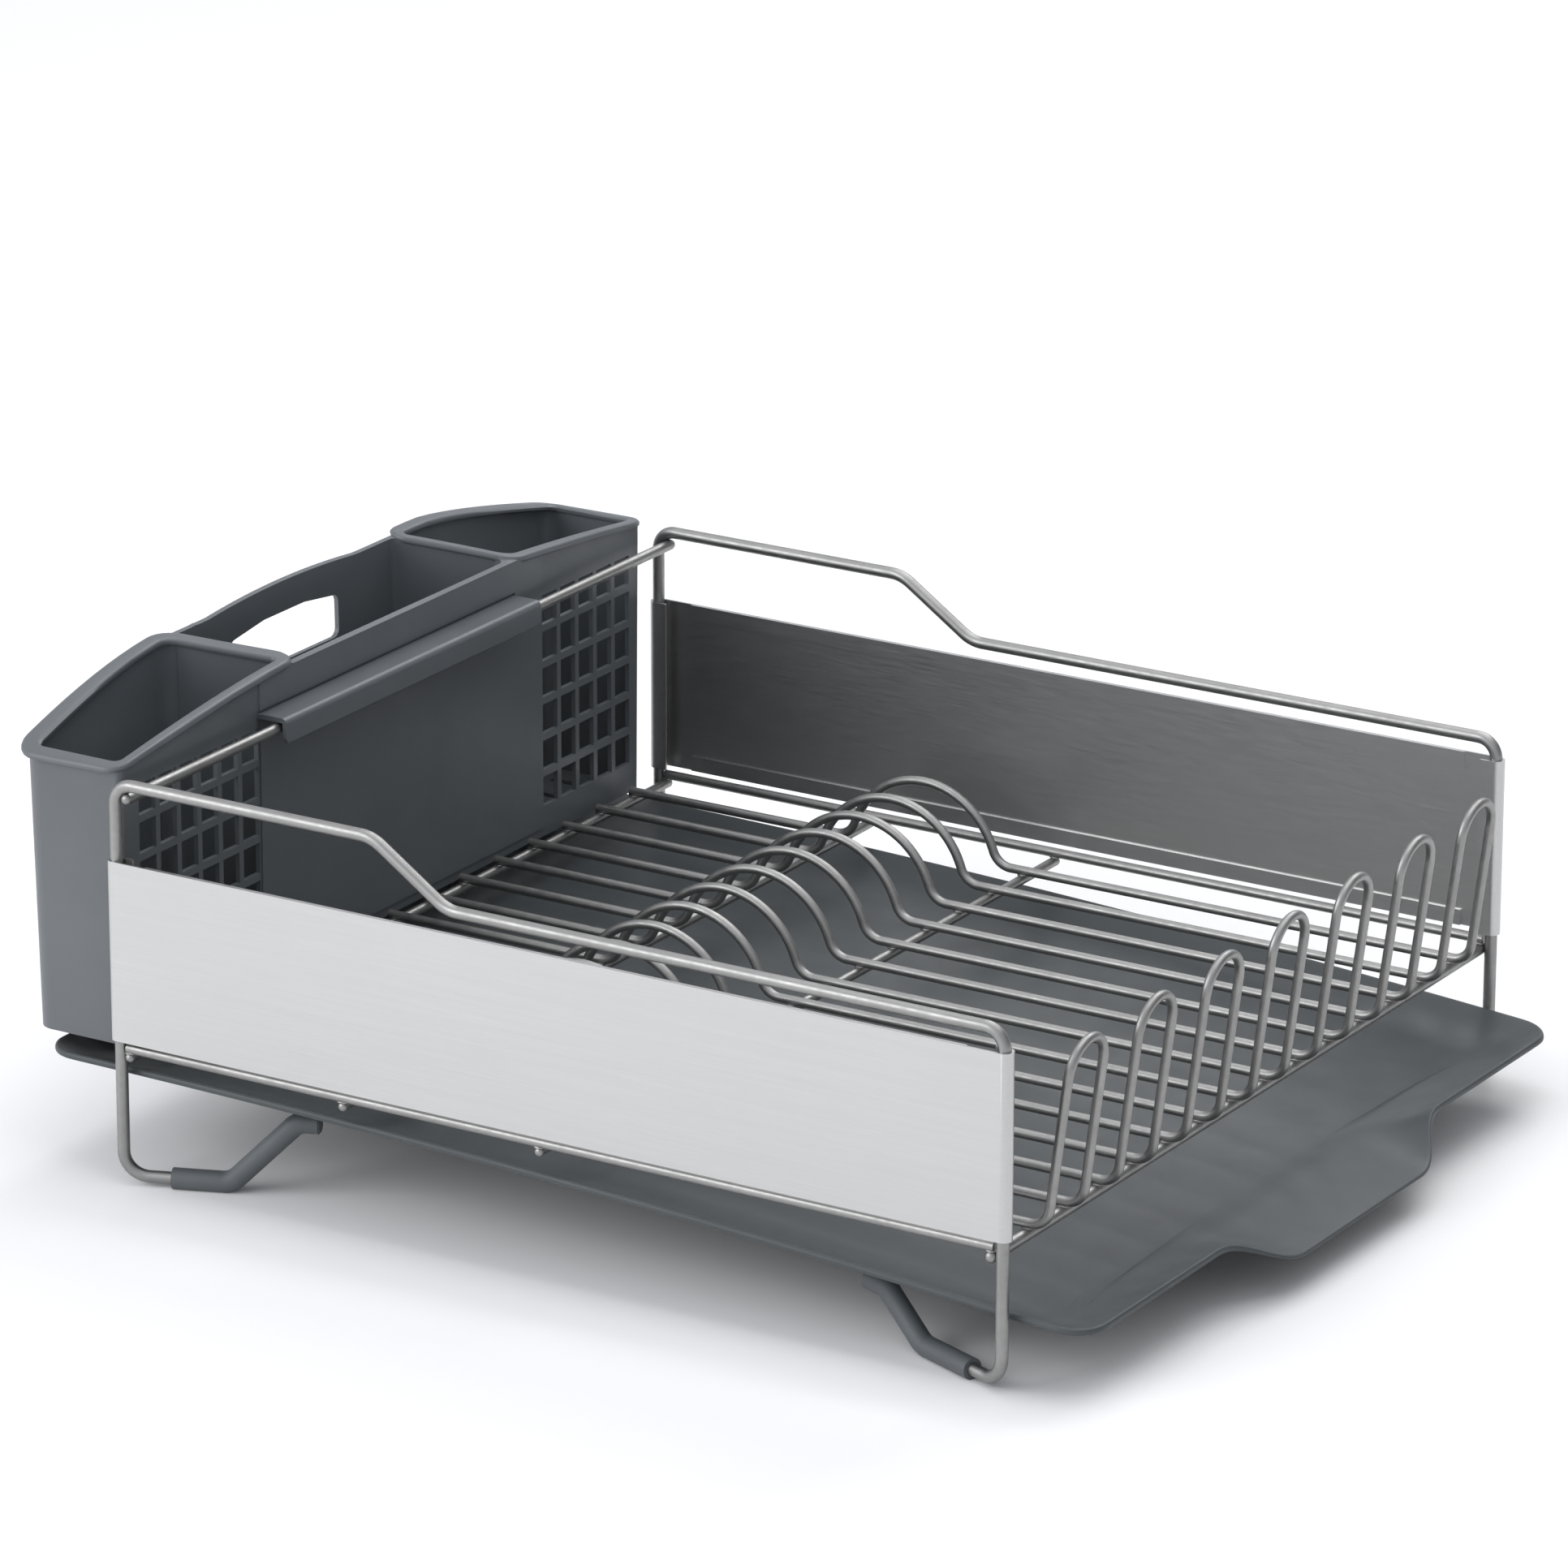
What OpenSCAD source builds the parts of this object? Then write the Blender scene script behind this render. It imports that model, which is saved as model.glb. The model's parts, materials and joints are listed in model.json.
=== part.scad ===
// Dish drying rack: welded wire rack, sliding drain tray and hook-on utensil caddy.
// Millimetres, +Z up, worktop at z = 0, X along the long steel panels, drain spout at +X.
// The origin lies under the middle of the overall length, midway between front and back posts.

/* [Rack frame] */
// distance between post centres along X
frame_x = 395; // [340:1:460]
// distance between the front and back wire frames along Y
frame_y = 388; // [376:1:400]
// thickness of the post and top wires
wire_d = 5; // [4.6:0.1:5.2]
// height of the low run of the top wire, centre
top_low = 142; // [138:0.5:150]
// height of the high run of the top wire, centre
top_high = 165; // [163:0.5:168]
// length of the high run measured from the left post
high_run = 119; // [90:1:150]
// length of the slope between high and low run
slope_run = 34; // [28:1:60]
// radius of the top corners, centre line
corner_r = 8; // [6:0.5:12]

/* [Steel panels] */
// height of the lower edge of both panels
panel_z = 60.5; // [60.5:0.1:62]
// height of the sheet
panel_h = 73.5; // [60:0.5:74]
// thickness of the sheet
panel_t = 1; // [0.8:0.1:1.2]
// depth of the folded hems on the hidden side
hem_h = 6.5; // [4:0.5:10]

/* [Deck] */
// thickness of the deck wires
deck_d = 3.8; // [3.4:0.1:4]
// height of the deck wires, centre
deck_z = 57.3; // [56.8:0.1:57.4]
// number of hairpins, each is two deck wires
hairpins = 7; // [7:1:7]
// spacing of the deck wires along Y
deck_pitch = 25.8; // [24.6:0.1:26.2]
// thickness of the cross wires under the deck
cross_d = 4; // [3.8:0.1:4]
// distance of the first inner cross wire from the left post
cross_1_x = 104; // [98:1:106]
// distance of the second inner cross wire from the left post
cross_2_x = 193.5; // [186:0.5:200]
// bite of every welded wire crossing
weld = 0.25; // [0.1:0.05:0.3]

/* [Plate humps and mug loops] */
// radius of the plate hump
hump_r = 35; // [32:0.5:36]
// height of the plate hump over the deck
hump_h = 30; // [29:0.5:31]
// hump centre from the left post
hump_x = 146; // [145:0.5:148]
// steepest angle of the hump wire
hump_a = 70; // [68:1:72]
// height of the mug loops above the deck, centre
loop_h = 71.8; // [60:0.2:90]
// outward lean of the mug loops
loop_lean = 7.5; // [5:0.5:12]
// distance of the mug loops beyond the right post at deck height
loop_out = 3.6; // [3:0.1:6]

/* [Feet] */
// depth of the flat the sleeves wear on the worktop
foot_flat = 0.2; // [0.1:0.05:0.3]
// outside diameter of the foot sleeves
sleeve_d = 8.5; // [8:0.1:8.8]
// angle of each foot towards the middle of the rack
foot_a = 21; // [18:1:24]
// reach of the foot from the post to its tip
foot_reach = 79; // [76:1:84]
// start of the left sleeves from the post
sleeve_left = 19.5; // [17:0.5:22]
// start of the right sleeves from the post
sleeve_right = 17; // [15:0.5:22]

/* [Drain tray] */
// slope of the tray under the left posts, it steepens towards the spout
tray_slope = 0.5; // [0.3:0.1:0.8]
// fall of the rim from the left posts to the right end
tray_fall = 19.25; // [18.5:0.25:19.75]
// height of the rim underside at the left posts
tray_z = 44.35; // [44:0.05:44.6]
// left end of the tray from the left post
tray_left = -43; // [-46:1:-40]
// right end of the tray from the left post
tray_right = 428; // [422:1:432]
// gap between the tray and the wire frames
tray_gap = 4.5; // [4:0.5:8]
// depth of the floor under the rim
tray_deep = 7.6; // [7:0.1:7.8]
// wall thickness of the tray
tray_t = 2; // [1.8:0.1:2.2]
// width of the sloping border
border = 25; // [22:1:28]
// height of the rim lip
lip_h = 2.8; // [2.5:0.1:3.2]
// width of the spout between its shoulders
spout_w = 172; // [150:2:190]
// length of each shoulder of the spout
shoulder = 36; // [30:1:42]
// reach of the spout beyond the rim
spout_out = 14.2; // [12:0.2:18]
// drop of the spout lip under the rim
spout_drop = 11; // [9:0.5:12]

/* [Utensil caddy] */
// inner wall of the caddy from the left posts
caddy_in = -3.6; // [-3.8:0.1:-3.4]
// outer wall of the caddy from the left posts, top
caddy_out = -51.2; // [-54:0.2:-48]
// underside of the caddy walls
caddy_z = 53.1; // [52.6:0.1:53.6]
// gap between caddy and the wire frames
caddy_gap = 8; // [7:0.5:10]
// wall thickness
caddy_t = 2; // [1.8:0.1:2.4]
// height of the rim at the front end
rim_low = 168.3; // [166:0.1:170]
// height of the rim at the back end
rim_back = 171; // [168:0.1:173]
// height of the rim along the middle of the outer wall
rim_high = 188.6; // [185:0.1:191]
// height of the rim along the middle of the inner wall
rim_mid = 181; // [178:0.1:183]
// taper of the outer and end walls towards the base
draft = 2.1; // [1:0.1:2.5]
// rise of the handle over the rim
crown = 2.6; // [1:0.1:5]

/* [Hidden] */
$fn = 48;
thin = 0.04;
bite = 0.2;
wr = wire_d / 2;
mid_y = frame_y / 2;
foot_z = sleeve_d / 2 - foot_flat;
cross_z = deck_z - (deck_d + cross_d) / 2 + weld;
right_d = 5;
right_z = deck_z - (deck_d + right_d) / 2 + weld;
rail_d = 4.5;
left_x = (wire_d + cross_d) / 2 - weld;
right_x = frame_x - (wire_d + right_d) / 2 + weld;
// the caddy rail nests inside the round top corner of both frames
nest = (corner_r - (wire_d + rail_d) / 2 + weld) * cos(45);
rail_x = corner_r - nest;
rail_z = top_high - corner_r + nest;
first_y = mid_y - (hairpins * 2 - 1) / 2 * deck_pitch;

steel = [0.80, 0.79, 0.76];
sheet = [0.88, 0.88, 0.87];
slate = [0.40, 0.42, 0.45];
rubber = [0.28, 0.30, 0.32];

// ---- helpers for bent wire ----

function unit(v) = v / norm(v);
function turn(p, i) = let (u = unit(p[i] - p[i - 1]), v = unit(p[i + 1] - p[i]))
  atan2(u[0] * v[1] - u[1] * v[0], u[0] * v[0] + u[1] * v[1]);
function cut(p, r, i) = (i == 0 || i == len(p) - 1) ? 0 : r[i] * tan(abs(turn(p, i)) / 2);

// round wire through the points p, filleted with the radii r, lying in the XY plane
// straights are a hair thinner than the bends and run into them, which keeps the joins clean
module wire(p, r, d, first = 0) {
  n = len(p);
  for (i = [first : n - 2]) {
    u = unit(p[i + 1] - p[i]);
    a = p[i] + u * (cut(p, r, i) - (i == 0 ? 0 : bite));
    b = p[i + 1] - u * (cut(p, r, i + 1) - (i == n - 2 ? 0 : bite));
    translate([a[0], a[1], 0])
      rotate([0, 0, atan2(u[1], u[0])])
        rotate([0, 90, 0])
          cylinder(d = d - thin, h = norm(b - a));
  }
  for (i = [1 : n - 2]) {
    u = unit(p[i] - p[i - 1]);
    t = turn(p, i);
    s = t > 0 ? 1 : -1;
    c = p[i] - u * cut(p, r, i) + [-u[1], u[0]] * r[i] * s;
    start = atan2(u[1], u[0]) - 90 * s;
    translate([c[0], c[1], 0])
      rotate([0, 0, t > 0 ? start : start + t])
        rotate_extrude(angle = abs(t))
          translate([r[i], 0])
            circle(d = d);
  }
}

// stands a flat wire up: x stays x, y becomes z
module upright() {
  rotate([90, 0, 0]) children();
}

// moves the measuring corner (left post, front frame) to the shared origin
module place() {
  translate([-centre_x, -mid_y, 0]) children();
}

// straight wire along Y with domed ends
module rail_y(x, z, d, y0, y1) {
  translate([x, y0, z]) sphere(d = d);
  translate([x, y1, z]) sphere(d = d);
  translate([x, y0, z]) rotate([-90, 0, 0]) cylinder(d = d, h = y1 - y0);
}

// ---- feet ----

// the tray falls ever more steeply towards the spout: height of its rim and of its underside
tray_bow = (tray_fall - tray_right * tan(tray_slope)) / pow(tray_right, 2);
function tray_rim(x) = tray_z - x * tan(tray_slope) - tray_bow * x * x;
function tray_under(x) = tray_rim(x) - tray_deep;
pad_x = foot_reach * 0.94 * cos(foot_a);
tip_left = tray_under(pad_x) - sleeve_d / 2 - 0.5;
tip_right = tray_under(frame_x - pad_x) - sleeve_d / 2 - 0.7;
post_end = foot_z + 10 - bite;
flat_left = 43;
flat_right = 46;
rise_left = 70;
rise_right = 68;

// from the foot of the post along the worktop, up to the tray and level under it
function foot_path(start, flat, rise, tip, reach) =
  [start, [flat, foot_z], [rise, tip], [reach, tip]];

// the post end turns inwards and climbs to carry the tray
module foot_bend(flat, rise, tip) {
  upright()
    wire(concat([[0, 40]], foot_path([0, foot_z], flat, rise, tip, foot_reach - 2)),
      [0, 10, 9, 8, 0], wire_d, 1);
}

module sleeve(start, flat, rise, tip) {
  difference() {
    upright() {
      wire(foot_path([start, foot_z], flat, rise, tip, foot_reach - 0.6),
        [0, 9, 8, 0], sleeve_d);
      translate([foot_reach - 3, tip, 0])
        rotate([0, 90, 0])
          cylinder(d = sleeve_d - 1.4, h = 3);
    }
    upright()
      wire(foot_path([start - 2, foot_z], flat, rise, tip, foot_reach - 2),
        [0, 9, 8, 0], wire_d + 0.1);
    translate([0, -10, -5]) cube([foot_reach, 20, 5]);
  }
}

// ---- wire frame, one bent wire each side ----

module frame_side() {
  upright()
    wire([[0, post_end], [0, top_high], [high_run, top_high],
      [high_run + slope_run, top_low], [frame_x, top_low], [frame_x, post_end]],
      [0, corner_r, 16, 16, corner_r, 0], wire_d);
  rotate([0, 0, foot_a]) foot_bend(flat_left, rise_left, tip_left);
  translate([frame_x, 0, 0])
    mirror([1, 0, 0])
      rotate([0, 0, foot_a])
        foot_bend(flat_right, rise_right, tip_right);
}

module front_frame_wire() {
  color(steel) place() frame_side();
}

module back_frame_wire() {
  color(steel) place() translate([0, frame_y, 0]) mirror([0, 1, 0]) frame_side();
}

module foot_sleeve_front_left() {
  color(rubber) place() rotate([0, 0, foot_a]) sleeve(sleeve_left, flat_left, rise_left, tip_left);
}

module foot_sleeve_front_right() {
  color(rubber) place()
    translate([frame_x, 0, 0]) mirror([1, 0, 0])
      rotate([0, 0, foot_a]) sleeve(sleeve_right, flat_right, rise_right, tip_right);
}

module foot_sleeve_back_left() {
  color(rubber) place()
    translate([0, frame_y, 0]) mirror([0, 1, 0])
      rotate([0, 0, foot_a]) sleeve(sleeve_left, flat_left, rise_left, tip_left);
}

module foot_sleeve_back_right() {
  color(rubber) place()
    translate([frame_x, frame_y, 0]) mirror([0, 1, 0]) mirror([1, 0, 0])
      rotate([0, 0, foot_a]) sleeve(sleeve_right, flat_right, rise_right, tip_right);
}

// ---- steel panels, the sheet is wrapped round both posts ----

module wrap() {
  difference() {
    circle(r = wr + 0.05 + panel_t);
    circle(r = wr + 0.05);
    translate([0, -wr - 10]) square([20, 2 * wr + 20]);
  }
}

module panel_side() {
  wp = wr + 0.05;
  translate([0, 0, panel_z])
    linear_extrude(height = panel_h) {
      translate([0, -wp - panel_t]) square([frame_x, panel_t]);
      wrap();
      translate([frame_x, 0]) mirror([1, 0]) wrap();
      translate([0, wp]) square([5.5, panel_t]);
      translate([frame_x - 5.5, wp]) square([5.5, panel_t]);
    }
  for (z = [panel_z, panel_z + panel_h - hem_h])
    translate([15, -wp - panel_t, z]) cube([frame_x - 30, 2 * panel_t, hem_h]);
}

module front_panel() {
  color(sheet) place() panel_side();
}

module back_panel() {
  color(sheet) place() translate([0, frame_y, 0]) mirror([0, 1, 0]) panel_side();
}

// ---- rails and cross wires ----

module lower_wire() {
  translate([wr + 0.8, 0, deck_z])
    rotate([0, 90, 0])
      cylinder(d = cross_d, h = frame_x - wire_d - 1.6);
}

module front_lower_wire() {
  color(steel) place() lower_wire();
}

module back_lower_wire() {
  color(steel) place() translate([0, frame_y, 0]) lower_wire();
}

module left_end_rail() {
  color(steel) place() rail_y(left_x, cross_z, cross_d, 0, frame_y);
}

module cross_wire_1() {
  color(steel) place() rail_y(cross_1_x, cross_z, cross_d, 0, frame_y);
}

module cross_wire_2() {
  color(steel) place() rail_y(cross_2_x, cross_z, cross_d, 0, frame_y);
}

module right_end_rail() {
  color(steel) place() rail_y(right_x, right_z, right_d, 0, frame_y);
}

module caddy_rail() {
  color(steel) place() rail_y(rail_x, rail_z, rail_d, 0, frame_y);
}

// ---- deck hairpins: two deck wires joined by a leaning mug loop ----

hump_c = hump_h - hump_r;
hump_foot = hump_r * cos(90 - hump_a) + (hump_c + hump_r * sin(90 - hump_a)) / tan(hump_a);
hump_tip = hump_c + hump_r / cos(hump_a);
loop_x0 = frame_x + loop_out;
leg_len = (loop_h - deck_pitch / 2 * cos(loop_lean)) / cos(loop_lean);
leg_end = [loop_x0 + leg_len * sin(loop_lean), leg_len * cos(loop_lean)];
leg_in = leg_end + bite * [sin(loop_lean), cos(loop_lean)];

module deck_wire() {
  upright()
    wire([[2.5, 0], [hump_x - hump_foot, 0], [hump_x, hump_tip], [hump_x + hump_foot, 0],
      [loop_x0, 0], leg_in], [0, 9, hump_r, 9, 8, 0], deck_d);
}

module hairpin(i) {
  translate([0, first_y + 2 * i * deck_pitch, deck_z]) {
    deck_wire();
    translate([0, deck_pitch, 0]) deck_wire();
    translate([leg_end[0], deck_pitch / 2, leg_end[1]])
      rotate([0, loop_lean, 0])
        rotate([90, 0, 90])
          rotate_extrude(angle = 180)
            translate([deck_pitch / 2, 0])
              circle(d = deck_d);
  }
}

module deck_hairpin_1() {
  color(steel) place() hairpin(0);
}

module deck_hairpin_2() {
  color(steel) place() hairpin(1);
}

module deck_hairpin_3() {
  color(steel) place() hairpin(2);
}

module deck_hairpin_4() {
  color(steel) place() hairpin(3);
}

module deck_hairpin_5() {
  color(steel) place() hairpin(4);
}

module deck_hairpin_6() {
  color(steel) place() hairpin(5);
}

module deck_hairpin_7() {
  color(steel) place() hairpin(6);
}

// ---- drain tray: one moulded shell, lofted ring by ring from the floor over the rim ----

tray_y0 = tray_gap;
tray_y1 = frame_y - tray_gap;
corner_n = 8;
long_n = 18;
end_n = 56;

// how far a point of the right rim belongs to the spout, 0 at the shoulders and 1 at the lip
function ease(t) = t <= 0 ? 0 : t >= 1 ? 1 : t * t * (3 - 2 * t);
function spout(y) = ease((spout_w / 2 - abs(y - mid_y)) / shoulder);

function between(a, b, n) = [for (i = [1 : n - 1]) a + (b - a) * i / n];
function corner_pts(cx, cy, r, a0) =
  [for (i = [0 : corner_n]) let (a = a0 + i * 90 / corner_n) [cx + r * cos(a), cy + r * sin(a)]];

// outline of the tray drawn in by w, with corner radius r, from the left end round to the left end
function outline(w, r) = let (
    x0 = tray_left + w + r, x1 = tray_right - w - r,
    y0 = tray_y0 + w + r, y1 = tray_y1 - w - r)
  concat(
    corner_pts(x0, y0, r, 180),
    between([x0, y0 - r], [x1, y0 - r], long_n),
    corner_pts(x1, y0, r, 270),
    between([x1 + r, y0], [x1 + r, y1], end_n),
    corner_pts(x1, y1, r, 0),
    between([x1, y1 + r], [x0, y1 + r], long_n),
    corner_pts(x0, y1, r, 90));

// ring of the shell: q = [inset, height over the rim underside, corner radius, spout reach, spout drop]
function ring(q) = [for (p = outline(q[0], q[2]))
  let (b = p[0] > tray_right - q[0] - 0.01 ? spout(p[1]) : 0)
    [p[0] + b * q[3], p[1], tray_rim(p[0]) + q[1] - b * q[4]]];

so = spout_out;
sd = spout_drop;
slope_w = border * 0.44;
in_z = tray_t - tray_deep;
rings = [
  [border, in_z, 6, 0, 0],
  [slope_w, in_z + 4, 9, -2, sd * 0.39],
  [1.8, lip_h - 0.3, 13.2, so - 0.4, sd + 0.7],
  [1.1, lip_h, 13.9, so - 0.1, sd + 1.1],
  [0.3, lip_h - 0.4, 14.7, so, sd + 1.1],
  [0, lip_h - 1.2, 15, so, sd + 0.7],
  [0, 0.4, 15, so, sd + 0.2],
  [0.7, 0, 14.3, so - 0.2, sd],
  [slope_w, -tray_deep / 2, 9, -1, sd * 0.37],
  [border, -tray_deep, 6, 0, 0]];

module drain_tray() {
  pts = [for (q = rings) each ring(q)];
  n = len(ring(rings[0]));
  m = len(rings);
  // both floor faces are closed by strips that meet in a line of points along the middle
  a = corner_n;
  b = corner_n + long_n;
  middle = [for (k = [0, m - 1], i = [a : b]) let (p = pts[k * n + i]) [p[0], mid_y, p[2]]];
  sides = [for (k = [0 : m - 2], i = [0 : n - 1]) let (j = (i + 1) % n)
    each [[k * n + i, k * n + j, (k + 1) * n + j], [k * n + i, (k + 1) * n + j, (k + 1) * n + i]]];
  caps = [for (side = [0, 1])
    let (o = side * (m - 1) * n, s = m * n + side * (b - a + 1) - a, f = side == 0)
      each concat(
        [for (i = [a : b - 1]) let (c = s + i, p = i + o, q = n - 1 - i + o)
          each [flip([p, c, c + 1], f), flip([p, c + 1, p + 1], f), flip([c, q, q - 1], f),
            flip([c, q - 1, c + 1], f)]],
        [for (i = [b : n - 2 - b]) flip([s + b, i + 1 + o, i + o], f)],
        [for (i = [n - 1 - a : n - 1 + a]) flip([s + a, (i + 1) % n + o, i % n + o], f)])];
  color(slate) place()
    polyhedron(points = concat(pts, middle), faces = concat(sides, caps), convexity = 6);
}

function flip(t, f) = f ? t : [t[0], t[2], t[1]];

// ---- utensil caddy: one moulding with three bays, rolled rims, grilles, grip slot and rail hook ----

caddy_y0 = caddy_gap;
caddy_y1 = frame_y - caddy_gap;
face_out = caddy_out + caddy_t;
face_in = caddy_in - caddy_t;
face_end = caddy_y0 + caddy_t + 0.4;
// the two dividers run parallel and oblique: place of each at the outer and inner wall
divider_out = 102.4;
divider_in = 121.8;
back_out = 264;
back_in = 284;
roll_h = 2.8;
roll_in = 1.6;
roll_out = 5;
centre_x = (caddy_out + caddy_t - roll_out + tray_right + spout_out) / 2;
slab_y0 = 101;
slab_y1 = 303;
slab_x = caddy_in + 0.6;
hook_y0 = 100;
hook_y1 = 282;
hook_top = rail_z + rail_d / 2 + 2.5;
hook_low = 153.5;
grip_y = mid_y - 10;
grip_z = 155.5;
grip_h = 18;

// rim heights: low at both ends, rising ever more gently over the given run
function climb(e, run, power) = 1 - pow(max(0, 1 - e / run), power);
function from_end(y) = min(y - caddy_y0, caddy_y1 - y);
function end_low(y) = y < mid_y ? rim_low : rim_back;
function rim_out(y) = end_low(y)
  + (rim_high - end_low(y)) * climb(from_end(y), 97, y < mid_y ? 1.6 : 1.3);
function rim_in(y) = end_low(y) + (rim_mid - end_low(y)) * climb(from_end(y) + 3, 120, 1.35);
function rim_at(p) = let (k = (p[0] - caddy_out) / (caddy_in - caddy_out))
  rim_out(p[1]) * (1 - k) + rim_in(p[1]) * k;

// the middle bay has plain wall tops, and the outer one arches up over the grip
function top_out(y) = y < divider_out - 8 || y > back_out + 8 ? rim_out(y) - roll_h / 2
  : rim_high - 1.7 + crown * max(0, 1 - pow((y - grip_y) / 52, 2));
function top_in(y) = y < divider_in || y > back_in ? rim_in(y) - roll_h / 2 : rim_mid - roll_h + 0.4;

// closed outline through corners p = [x, y, radius] with n steps a corner and straights cut by step,
// as samples [centre x, centre y, radius, angle of the outward normal]
function heading(a, b) = atan2(b[1] - a[1], b[0] - a[0]);
function round_corner(p, i, n) = let (
    m = len(p), a = p[(i + m - 1) % m], b = p[i], c = p[(i + 1) % m],
    h = heading(a, b), t = (heading(b, c) - h + 360) % 360, back = b[2] * tan(t / 2),
    o = [b[0] - back * cos(h) - b[2] * sin(h), b[1] - back * sin(h) + b[2] * cos(h)])
  [for (j = [0 : n]) [o[0], o[1], b[2], h - 90 + t * j / n]];
function rounded(p, n, step) = [for (i = [0 : len(p) - 1]) let (
    s = round_corner(p, i, n), a = s[n], v = round_corner(p, (i + 1) % len(p), n)[0] - a,
    k = ceil(norm([v[0], v[1]]) / step))
  each concat(s, [for (j = [1 : 1 : k - 1]) let (q = a + v * j / k) [q[0], q[1], q[2], a[3]]])];
function offset_at(s, w) = [s[0] + (s[2] + w) * cos(s[3]), s[1] + (s[2] + w) * sin(s[3])];

// corners of the caddy and of its bays, drawn in by d at the base, corners rounder by more
function body_corners(d) = [[caddy_out + d, caddy_y0 + d, 8], [caddy_in, caddy_y0 + d, 3],
  [caddy_in, caddy_y1 - d, 3], [caddy_out + d, caddy_y1 - d, 8]];
function end_bay(d, more = 0) = [[face_out + d, face_end + d, 6 + more], [face_in, face_end + d, 4 + more],
  [face_in, divider_in, 3 + more], [face_out + d, divider_out, 10 + more]];
function back_bay(d, more = 0) = let (e = 2 * mid_y - face_end - d)
  [[face_out + d, back_out, 3 + more], [face_in, back_in, 10 + more],
    [face_in, e, 4 + more], [face_out + d, e, 6 + more]];
function middle_bay(d) = [[face_out + d, divider_out + caddy_t, 4], [face_in, divider_in + caddy_t, 3],
  [face_in, back_in - caddy_t, 4], [face_out + d, back_out - caddy_t, 3]];

// upright block between two outlines
module loft(low, high, z0, z1) {
  hull()
    for (k = [[low, z0], [high, z1]])
      translate([0, 0, k[1]])
        linear_extrude(height = 0.01)
          polygon([for (s = rounded(k[0], 7, 1000)) offset_at(s, 0)]);
}

// everything under the tops of the walls
module under_tops() {
  n = 96;
  y0 = caddy_y0 - 10;
  step = (caddy_y1 - caddy_y0 + 20) / n;
  k = 12 / (caddy_in - caddy_out);
  pts = [for (i = [0 : n]) let (y = y0 + i * step, a = top_out(y), b = top_in(y))
    each [[caddy_out - 12, y, 0], [caddy_in + 12, y, 0],
      [caddy_in + 12, y, b + (b - a) * k], [caddy_out - 12, y, a - (b - a) * k]]];
  sides = [for (i = [0 : n - 1], j = [0 : 3]) let (q = 4 * i + j, r = 4 * i + (j + 1) % 4)
    each [[q, r, r + 4], [q, r + 4, q + 4]]];
  e = 4 * n;
  ends = [[0, 2, 1], [0, 3, 2], [e, e + 1, e + 2], [e, e + 2, e + 3]];
  polyhedron(points = pts, faces = concat(sides, ends), convexity = 6);
}

module caddy_shell() {
  intersection() {
    difference() {
      union() {
        loft(body_corners(draft), body_corners(0), caddy_z, 195);
        translate([caddy_in - 1, slab_y0, caddy_z + 4])
          cube([slab_x - caddy_in + 1, slab_y1 - slab_y0, 140]);
      }
      loft(end_bay(draft), end_bay(0), caddy_z + caddy_t, 196);
      loft(middle_bay(draft), middle_bay(0), caddy_z + caddy_t, 196);
      loft(back_bay(draft), back_bay(0), caddy_z + caddy_t, 196);
    }
    under_tops();
  }
}

// rolled rim round an end bay: profile points are [outward from the bay's face, up from the rim line]
roll = [[0.6, -6], [0.6, -roll_h - 0.1], [-roll_in * 0.75, -roll_h], [-roll_in, -roll_h + 0.7],
  [-roll_in, -1], [-roll_in * 0.7, -0.35], [-0.3, 0], [roll_out * 0.6, 0], [roll_out * 0.82, -0.3],
  [roll_out * 0.95, -0.9], [roll_out, -1.7], [roll_out * 0.95, -2.4], [roll_out * 0.8, -roll_h],
  [roll_out * 0.5, -roll_h - 0.4], [1.2, -roll_h - 1.6], [1.2, -6]];

// the roll stands out less beside the rack and over the back divider, more over the front divider,
// and is widest at the low corners
function reach(s) = 1 - 0.28 * pow(max(0, cos(s[3])), 2)
  + (s[1] < mid_y ? 0.36 : 0) * pow(max(0, sin(s[3])), 2)
  - (s[1] > mid_y ? 0.4 : 0) * pow(min(0, sin(s[3])), 2);
function lean(s) = let (e = min(s[1], 2 * mid_y - s[1]) - face_end)
  1 + 1.4 * max(0, -cos(s[3])) * max(0, 1 - e / 70);

module caddy_rim(corners) {
  path = rounded(corners, 6, 9);
  m = len(path);
  n = len(roll);
  pts = [for (s = path, q = roll) let (p = offset_at(s, q[0] * (q[0] > 0 ? reach(s) : lean(s))))
    [p[0], p[1], rim_at(p) + q[1]]];
  polyhedron(points = pts, convexity = 8,
    faces = [for (i = [0 : m - 1], k = [0 : n - 1])
      let (j = (i + 1) % m, l = (k + 1) % n)
        each [[i * n + k, j * n + k, j * n + l], [i * n + k, j * n + l, i * n + l]]]);
}

// block of drain cells through the inner wall
cell = [11, 12.8];
bar = [2.8, 3];
grille_z = 66.2;
module grille(y0, cols) {
  for (i = [0 : cols - 1], k = [0 : 5])
    translate([caddy_in - 6, y0 + i * (cell[0] + bar[0]), grille_z + k * (cell[1] + bar[1])])
      cube([12, cell[0], cell[1]]);
}

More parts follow.
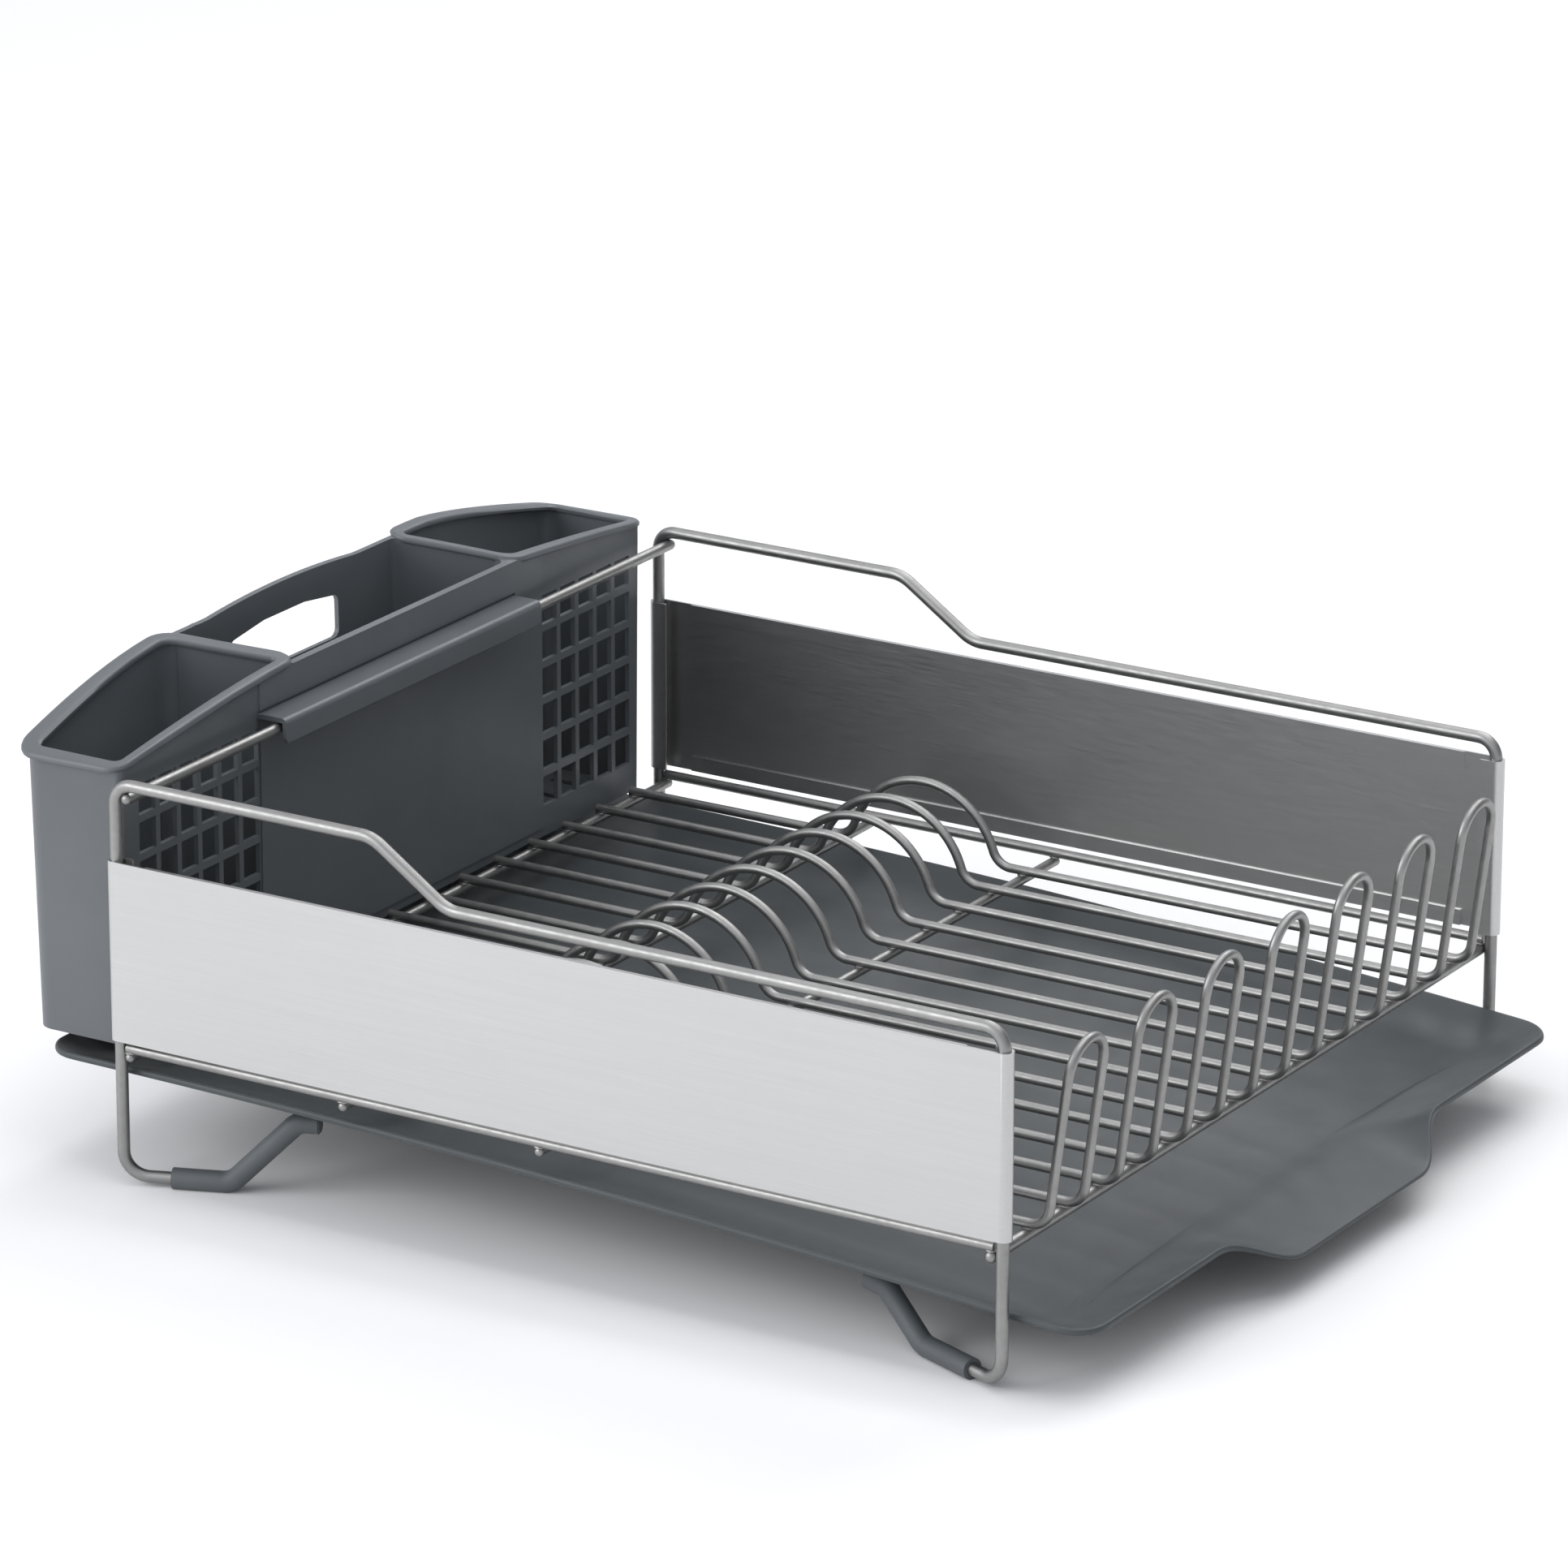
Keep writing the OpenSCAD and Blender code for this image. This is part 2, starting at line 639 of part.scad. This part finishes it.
// the hook lies over the caddy rail and its flap hangs down in front of it
module caddy_hook() {
  flap = rail_x + rail_d / 2 + 0.6;
  r = 2.4;
  intersection() {
    translate([0, hook_y1, 0])
      rotate([90, 0, 0])
        linear_extrude(height = hook_y1 - hook_y0)
          polygon(concat(
            [[flap, hook_top - 2], [caddy_in - 1, hook_top - 2], [caddy_in - 1, hook_top]],
            [for (a = [90 : -15 : 0]) [flap + 2 - r + r * cos(a), hook_top - r + r * sin(a)]],
            [[flap + 2, hook_low + 0.8], [flap + 1.3, hook_low], [flap + 0.3, hook_low]]));
    translate([caddy_in - 2, 0, 0])
      rotate([90, 0, 90])
        linear_extrude(height = 40)
          offset(r = 3)
            translate([hook_y0 + 3, hook_low + 3])
              square([hook_y1 - hook_y0 - 6, 20]);
  }
}

// hand hole with round corners and an arched top
module grip_slot() {
  hull()
    for (c = [[-34.5, 3.5], [34.5, 3.5], [34.5, grip_h - 3.5], [-34.5, grip_h - 3.5],
              [-14, grip_h - 0.8], [14, grip_h - 0.8]])
      translate([caddy_out - 8, grip_y + c[0], grip_z + c[1]])
        rotate([0, 90, 0])
          cylinder(r = 3.5, h = 16, $fn = 28);
}

module base_slot() {
  hull()
    for (x = [0, 18])
      translate([caddy_out + 15 + x, 0, caddy_z - 4])
        cylinder(r = 2, h = 8, $fn = 12);
}

module utensil_caddy() {
  color(slate) place()
    difference() {
      union() {
        caddy_shell();
        caddy_rim(end_bay(0, 0.4));
        caddy_rim(back_bay(0, 0.4));
        caddy_hook();
        translate([caddy_out + 10, caddy_y0 + 8, caddy_z - 1.4])
          cube([caddy_in - caddy_out - 17, caddy_y1 - caddy_y0 - 16, 2]);
      }
      translate([caddy_in - 0.3, hook_y0 - 1, hook_top - 0.3])
        cube([2.4, hook_y1 - hook_y0 + 2, 1.2]);
      grille(20, 6);
      grille(304, 5);
      grip_slot();
      for (b = [-1, 0, 1], i = [-2 : 2])
        translate([0, mid_y + b * 132 + i * 18, 0]) base_slot();
    }
}

front_frame_wire();
back_frame_wire();
front_panel();
back_panel();
front_lower_wire();
back_lower_wire();
left_end_rail();
cross_wire_1();
cross_wire_2();
right_end_rail();
caddy_rail();
deck_hairpin_1();
deck_hairpin_2();
deck_hairpin_3();
deck_hairpin_4();
deck_hairpin_5();
deck_hairpin_6();
deck_hairpin_7();
foot_sleeve_front_left();
foot_sleeve_front_right();
foot_sleeve_back_left();
foot_sleeve_back_right();
drain_tray();
utensil_caddy();
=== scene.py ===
"""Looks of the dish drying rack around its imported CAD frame: steel, plastic and rubber, light and camera.

Metres throughout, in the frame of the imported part: +Z up, +X from the utensil caddy to the drain spout.
"""

import json
import math

import bmesh
import bpy
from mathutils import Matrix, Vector, noise


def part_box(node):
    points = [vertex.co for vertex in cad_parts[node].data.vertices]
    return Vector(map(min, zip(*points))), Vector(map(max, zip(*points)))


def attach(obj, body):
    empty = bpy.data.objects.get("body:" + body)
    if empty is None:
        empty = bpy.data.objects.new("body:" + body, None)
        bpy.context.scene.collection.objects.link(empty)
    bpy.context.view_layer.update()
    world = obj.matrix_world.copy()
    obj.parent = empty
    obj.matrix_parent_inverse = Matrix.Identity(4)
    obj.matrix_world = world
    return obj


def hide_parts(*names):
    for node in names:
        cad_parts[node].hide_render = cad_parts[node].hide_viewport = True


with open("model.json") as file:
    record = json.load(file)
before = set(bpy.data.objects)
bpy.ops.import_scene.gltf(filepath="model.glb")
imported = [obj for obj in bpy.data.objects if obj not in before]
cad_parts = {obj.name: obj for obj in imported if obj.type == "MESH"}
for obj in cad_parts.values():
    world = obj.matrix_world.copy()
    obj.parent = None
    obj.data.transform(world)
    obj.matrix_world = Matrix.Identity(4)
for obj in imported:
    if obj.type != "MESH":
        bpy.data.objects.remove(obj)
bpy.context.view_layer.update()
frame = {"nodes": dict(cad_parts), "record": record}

MM = 0.001

# Camera, solved from the perspective of the photograph
CAMERA_AT = (1.6390, -2.6814, 1.2153)
VIEW_YAW = 0.5526
VIEW_PITCH = 0.3287
VIEW_ROLL = -0.0017
LENS = 195.0
SENSOR = 36.0

# Edge rounding of the pieces that stand in for CAD nodes
SAME_PLACE = 0.001 * MM
SAME_LEVEL = 0.01 * MM
CADDY_EDGE = 0.45 * MM
HEM_FOLD = 0.8 * MM
SHEET_EDGE = 0.18 * MM
SLEEVE_EDGE = 0.5 * MM

# Weld lumps
DECK_WIRE = 3.8 * MM
LUMP_SIZE = Vector((2.5, 2.1, 0.75)) * MM
LUMP_SINK = 0.12 * MM
LUMP_SWELL = 0.16

# The pale sweep: its half width, the turn that curves it up, where its wall stands and how high it ends
SWEEP_HALF = 12.0
SWEEP_TURN = 3.0
SWEEP_BACK = 9.0
SWEEP_TOP = 10.0

# Studio lights: name, place, size and power in watts; all look at the middle of the rack
RACK_MIDDLE = (0, 0, 0.08)
LIGHTS = (
    ("key_from_front_left", (-1.5, -2.2, 1.3), (1.9, 1.5), 34),
    ("overhead", (0.1, 0.3, 2.2), (2.4, 1.8), 20),
    ("high_from_behind", (-0.1, 2.2, 2.3), (1.8, 1.0), 26),
)
DOME_COLOUR = (0.93, 0.95, 1.0, 1)
DOME_BRIGHT_SIDE = (-0.42, -0.80, 0.42)
DOME_DIM = 0.12
DOME_BRIGHT = 1.12


# ---------------------------------------------------------------- node helpers

class Nodes:
    """A short way to build a material's node tree."""

    def __init__(self, name):
        self.material = bpy.data.materials.new(name)
        self.material.use_nodes = True
        self.tree = self.material.node_tree
        self.shader = self.tree.nodes["Principled BSDF"]
        self.place = self.add("ShaderNodeTexCoord").outputs["Object"]

    def add(self, kind, **values):
        node = self.tree.nodes.new(kind)
        for key, value in values.items():
            setattr(node, key, value)
        return node

    def link(self, source, target):
        self.tree.links.new(source, target)

    def stretched(self, scale):
        """Object coordinates, stretched by a scale along each axis."""
        node = self.add("ShaderNodeMapping")
        node.inputs["Scale"].default_value = scale
        self.link(self.place, node.inputs["Vector"])
        return node.outputs["Vector"]

    def noise(self, scale, detail=2.0, rough=0.5, where=None):
        """A noise value, by scale in cycles per metre."""
        node = self.add("ShaderNodeTexNoise")
        node.inputs["Scale"].default_value = scale
        node.inputs["Detail"].default_value = detail
        node.inputs["Roughness"].default_value = rough
        self.link(where or self.place, node.inputs["Vector"])
        return node.outputs["Fac"]

    def spread(self, value, low, high, start=0.3, end=0.7):
        """Maps a noise value to low..high."""
        node = self.add("ShaderNodeMapRange")
        node.inputs["From Min"].default_value = start
        node.inputs["From Max"].default_value = end
        node.inputs["To Min"].default_value = low
        node.inputs["To Max"].default_value = high
        self.link(value, node.inputs["Value"])
        return node.outputs["Result"]

    def blend(self, factor, one, two):
        """Colour between one and two by a factor; each is a colour or a socket."""
        node = self.add("ShaderNodeMix", data_type="RGBA")
        self.link(factor, node.inputs[0])
        for socket, value in ((node.inputs[6], one), (node.inputs[7], two)):
            if hasattr(value, "links"):
                self.link(value, socket)
            else:
                socket.default_value = (*value, 1.0)
        return node.outputs[2]

    def bump(self, height, strength, distance, under=None):
        """A normal raised by a height, over another normal where one is given."""
        node = self.add("ShaderNodeBump")
        node.inputs["Strength"].default_value = strength
        node.inputs["Distance"].default_value = distance
        self.link(height, node.inputs["Height"])
        if under:
            self.link(under, node.inputs["Normal"])
        return node.outputs["Normal"]

    def finish(self, colour, roughness, normal, **fixed):
        """Links the three varied inputs, sets the constant ones and gives back the material."""
        self.link(colour, self.shader.inputs["Base Color"])
        self.link(roughness, self.shader.inputs["Roughness"])
        self.link(normal, self.shader.inputs["Normal"])
        for key, value in fixed.items():
            self.shader.inputs[key.replace("_", " ")].default_value = value
        return self.material


# ---------------------------------------------------------------- materials

def satin_wire():
    """Satin stainless wire: warm grey, finely blasted, a little cloudy from piece to piece."""
    n = Nodes("satin_wire")
    cloud = n.noise(38, detail=3)
    grain = n.noise(2600, detail=2)
    drawn = n.noise(420, detail=3)
    tone = n.blend(n.spread(cloud, 0, 1), (0.295, 0.292, 0.286), (0.355, 0.351, 0.344))
    colour = n.blend(n.spread(drawn, 0, 0.35), tone, (0.26, 0.257, 0.252))
    rough = n.spread(n.noise(240, detail=3), 0.38, 0.50)
    normal = n.bump(drawn, 0.08, 0.05 * MM, under=n.bump(grain, 0.14, 0.05 * MM))
    return n.finish(colour, rough, normal, Metallic=1.0)


def brushed_sheet():
    """Sheet steel brushed along X: long fine strokes in colour, roughness and relief."""
    n = Nodes("brushed_sheet")
    long_strokes = n.noise(1.0, detail=4, rough=0.6, where=n.stretched((14, 900, 900)))
    fine_strokes = n.noise(1.0, detail=3, rough=0.6, where=n.stretched((55, 3800, 3800)))
    handled = n.noise(9, detail=3)
    strokes = n.blend(n.spread(long_strokes, 0, 1), (0.535, 0.533, 0.528), (0.570, 0.568, 0.562))
    colour = n.blend(n.spread(handled, 0, 0.5), strokes, (0.525, 0.528, 0.528))
    rough = n.spread(fine_strokes, 0.30, 0.42)
    normal = n.bump(long_strokes, 0.07, 0.03 * MM, under=n.bump(fine_strokes, 0.12, 0.02 * MM))
    return n.finish(colour, rough, normal, Metallic=1.0)


def moulded(name, dark, light, rough_low, rough_high, gloss=0.5):
    """Moulded plastic or rubber: an etched grain, faint flow clouds and uneven gloss."""
    n = Nodes(name)
    grain_scale = 1900
    grain_depth = 0.05 * MM
    cloud = n.noise(16, detail=4)
    flow = n.noise(1.0, detail=3, where=n.stretched((30, 30, 6)))
    grain = n.noise(grain_scale, detail=2, rough=0.6)
    pits = n.noise(grain_scale / 5, detail=3)
    colour = n.blend(n.spread(cloud, 0, 1), dark, light)
    colour = n.blend(n.spread(flow, 0, 0.4), colour, dark)
    rough = n.spread(n.noise(55, detail=4), rough_low, rough_high)
    normal = n.bump(pits, 0.10, grain_depth, under=n.bump(grain, 0.25, grain_depth))
    return n.finish(colour, rough, normal, Specular_IOR_Level=gloss)


def caddy_plastic():
    """Satin grey plastic with a bluish tinge."""
    return moulded("caddy_plastic", (0.100, 0.110, 0.117), (0.116, 0.127, 0.135), 0.36, 0.46)


def tray_plastic():
    """The same grey, darker and less glossy."""
    return moulded("tray_plastic", (0.056, 0.063, 0.066), (0.067, 0.075, 0.079), 0.34, 0.44, gloss=0.3)


def sleeve_rubber():
    """Dull dark rubber."""
    return moulded("sleeve_rubber", (0.080, 0.089, 0.094), (0.094, 0.104, 0.110), 0.52, 0.64)


def pale_floor():
    """Near-white matt card."""
    n = Nodes("pale_floor")
    tint = n.blend(n.noise(3, detail=2), (0.86, 0.86, 0.86), (0.8471, 0.8471, 0.8471))
    rough = n.spread(n.noise(6, detail=2), 0.60, 0.63)
    return n.finish(tint, rough, n.bump(n.noise(400), 0.02, 0.02 * MM))


materials = {
    "wire_steel": satin_wire(),
    "sheet_steel": brushed_sheet(),
    "caddy_plastic": caddy_plastic(),
    "tray_plastic": tray_plastic(),
    "sleeve_rubber": sleeve_rubber(),
}
slot_of = {part["node"]: part["material_slot"] for part in frame["record"]["subparts"]}
hairpins = [node for node in sorted(slot_of) if node.startswith("deck_hairpin")]


def dress_frame():
    """Gives every CAD node the procedural material of its slot in the record."""
    for node, slot in slot_of.items():
        mesh = frame["nodes"][node].data
        mesh.materials.clear()
        mesh.materials.append(materials[slot])


# ---------------------------------------------------------------- finer pieces over CAD nodes

def body_of(node):
    """The body that a CAD node belongs to."""
    bodies = frame["record"]["behaviour"]["bodies"]
    return next(name for name, members in bodies.items() if node in members)


def shaped_from(node):
    """The CAD node's surface as a bmesh with shared vertices."""
    bm = bmesh.new()
    bm.from_mesh(frame["nodes"][node].data)
    bmesh.ops.remove_doubles(bm, verts=bm.verts, dist=SAME_PLACE)
    return bm


def flatten_faces(bm, degrees=0.6):
    """Joins the triangles of each flat face."""
    bmesh.ops.dissolve_limit(bm, angle_limit=math.radians(degrees), verts=bm.verts, edges=bm.edges)


def crease(edge):
    """Angle between the two faces of an edge, in degrees."""
    return math.degrees(edge.calc_face_angle(0.0))


def soften(bm, width, steps, chosen):
    """Rounds the chosen edges to a width."""
    edges = [edge for edge in bm.edges if chosen(edge)]
    bmesh.ops.bevel(bm, geom=edges, offset=width, offset_type="OFFSET", segments=steps, profile=0.5,
                    affect="EDGES", clamp_overlap=True)


def add_object(name, data):
    """A new object in the scene."""
    made = bpy.data.objects.new(name, data)
    bpy.context.scene.collection.objects.link(made)
    return made


def make_piece(name, bm, slot, body, replaced=None, sharp=38, steady=True):
    """Turns a bmesh into a smooth-shaded piece with its material, slot, body and replaced node."""
    mesh = bpy.data.meshes.new(name)
    bmesh.ops.recalc_face_normals(bm, faces=bm.faces)
    bm.to_mesh(mesh)
    bm.free()
    mesh.materials.append(materials[slot])
    for polygon in mesh.polygons:
        polygon.use_smooth = True
        polygon.material_index = 0
    mesh.set_sharp_from_angle(angle=math.radians(sharp))
    piece = add_object(name, mesh)
    if steady:
        weighted = piece.modifiers.new("weighted", "WEIGHTED_NORMAL")
        weighted.keep_sharp = True
    if replaced:
        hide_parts(replaced)
    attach(piece, body)
    return piece


def make_tray():
    """The tray's moulded shell with soft, continuous curves from floor to lip and spout."""
    node = "drain_tray"
    bm = shaped_from(node)
    bmesh.ops.join_triangles(bm, faces=bm.faces, angle_face_threshold=math.radians(60),
                             angle_shape_threshold=math.radians(60))
    piece = make_piece("tray_shell", bm, slot_of[node], body_of(node), node, sharp=180, steady=False)
    smooth = piece.modifiers.new("smooth", "SUBSURF")
    smooth.levels = smooth.render_levels = 2


def make_caddy():
    """The caddy's moulding with every outer moulded edge rounded a little."""
    node = "utensil_caddy"
    bm = shaped_from(node)
    flatten_faces(bm)
    soften(bm, CADDY_EDGE, 2, lambda edge: crease(edge) > 48 and edge.is_convex)
    make_piece("caddy_moulding", bm, slot_of[node], body_of(node), node)


def make_panel(node, name):
    """The folded sheet: closed hems with round folds, and eased cut edges."""
    bm = shaped_from(node)
    flatten_faces(bm)
    low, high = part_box(node)

    def is_hem(edge):
        """A long level edge at the very top or bottom of the sheet."""
        one, two = (v.co for v in edge.verts)
        level = abs(one.z - two.z) < SAME_PLACE and min(abs(one.z - low.z), abs(one.z - high.z)) < SAME_LEVEL
        along = abs(one.y - two.y) < SAME_PLACE and abs(one.x - two.x) > 100 * MM
        return level and along and crease(edge) > 60

    soften(bm, HEM_FOLD, 5, is_hem)
    soften(bm, SHEET_EDGE, 2, lambda edge: crease(edge) > 60)
    make_piece(name, bm, slot_of[node], body_of(node), node)


def make_sleeve(node, name):
    """A rubber sleeve with rounded ends."""
    bm = shaped_from(node)
    flatten_faces(bm, 0.2)
    soften(bm, SLEEVE_EDGE, 3, lambda edge: crease(edge) > 60)
    make_piece(name, bm, slot_of[node], body_of(node), node)


def add_lump(bm, at, seed):
    """A small uneven weld lump."""
    made = bmesh.ops.create_icosphere(bm, subdivisions=3, radius=1.0)
    for v in made["verts"]:
        swell = 1 + LUMP_SWELL * noise.noise(v.co * 1.6 + Vector((seed, 2.7 * seed, 0)))
        v.co = v.co * LUMP_SIZE * swell + at


def wires_of(hairpin):
    """Y of the two deck wires of a hairpin."""
    low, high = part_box(hairpin)
    return low.y + DECK_WIRE / 2, high.y - DECK_WIRE / 2


def make_welds():
    """Squeezed-out weld lumps where deck wires and lower wires rest on the rails."""
    rails = ("left_end_rail", "cross_wire_1", "cross_wire_2", "right_end_rail")
    crossings = [y for hairpin in hairpins for y in wires_of(hairpin)]
    crossings += [sum(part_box(node), Vector()).y / 2 for node in ("front_lower_wire", "back_lower_wire")]
    bm = bmesh.new()
    seed = 1
    for rail in rails:
        low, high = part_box(rail)
        for y in crossings:
            add_lump(bm, Vector(((low.x + high.x) / 2, y, high.z - LUMP_SINK)), seed)
            seed += 1
    make_piece("weld_lumps", bm, "wire_steel", body_of(rails[0]), sharp=180, steady=False)


# ---------------------------------------------------------------- floor, light and camera

def make_floor():
    """A pale sweep: flat under the rack and curving up far behind it."""
    start = SWEEP_BACK - SWEEP_TURN
    profile = [(-SWEEP_HALF, 0.0), (start, 0.0)]
    for degrees in range(10, 91, 10):
        a = math.radians(degrees)
        profile.append((start + SWEEP_TURN * math.sin(a), SWEEP_TURN - SWEEP_TURN * math.cos(a)))
    profile.append((SWEEP_BACK, SWEEP_TOP))
    toward = Vector((-math.sin(VIEW_YAW), math.cos(VIEW_YAW), 0))
    side = Vector((toward.y, -toward.x, 0))
    vertices = [toward * along + side * across + Vector((0, 0, up))
                for along, up in profile for across in (-SWEEP_HALF, SWEEP_HALF)]
    faces = [(2 * i, 2 * i + 1, 2 * i + 3, 2 * i + 2) for i in range(len(profile) - 1)]
    mesh = bpy.data.meshes.new("floor")
    mesh.from_pydata([v[:] for v in vertices], [], faces)
    mesh.materials.append(pale_floor())
    for polygon in mesh.polygons:
        polygon.use_smooth = True
    floor = add_object("floor", mesh)


def make_dome():
    """A studio dome: bright from the front left and above, dimmer towards the back right."""
    world = bpy.data.worlds.new("studio")
    world.use_nodes = True
    tree = world.node_tree
    shine = tree.nodes["Background"]
    shine.inputs["Color"].default_value = DOME_COLOUR
    toward = tree.nodes.new("ShaderNodeVectorMath")
    toward.operation = "DOT_PRODUCT"
    toward.inputs[1].default_value = Vector(DOME_BRIGHT_SIDE).normalized()
    tree.links.new(tree.nodes.new("ShaderNodeTexCoord").outputs["Generated"], toward.inputs[0])
    strength = tree.nodes.new("ShaderNodeMapRange")
    strength.inputs["From Min"].default_value = -0.9
    strength.inputs["From Max"].default_value = 1.0
    strength.inputs["To Min"].default_value = DOME_DIM
    strength.inputs["To Max"].default_value = DOME_BRIGHT
    tree.links.new(toward.outputs["Value"], strength.inputs["Value"])
    tree.links.new(strength.outputs["Result"], shine.inputs["Strength"])
    bpy.context.scene.world = world


def make_light(name, at, size, power):
    """A rectangular soft light that looks at the rack."""
    data = bpy.data.lights.new(name, "AREA")
    data.shape = "RECTANGLE"
    data.size, data.size_y = size
    data.energy = power
    light = add_object(name, data)
    light.location = at
    light.rotation_euler = (Vector(RACK_MIDDLE) - Vector(at)).to_track_quat("-Z", "Y").to_euler()


def make_camera():
    """A long lens from the front right, where the perspective of the picture puts it."""
    data = bpy.data.cameras.new("camera")
    data.lens = LENS
    data.sensor_width = SENSOR
    data.clip_end = 50
    camera = add_object("camera", data)
    camera.location = CAMERA_AT
    camera.rotation_euler = (math.pi / 2 - VIEW_PITCH, VIEW_ROLL, VIEW_YAW)
    bpy.context.scene.camera = camera


dress_frame()
make_tray()
make_caddy()
make_panel("front_panel", "front_sheet")
make_panel("back_panel", "back_sheet")
for end in ("front_left", "front_right", "back_left", "back_right"):
    make_sleeve("foot_sleeve_" + end, "rubber_sleeve_" + end)
make_welds()
make_floor()
make_dome()
for light in LIGHTS:
    make_light(*light)
make_camera()
bpy.context.scene.view_settings.view_transform = "Standard"
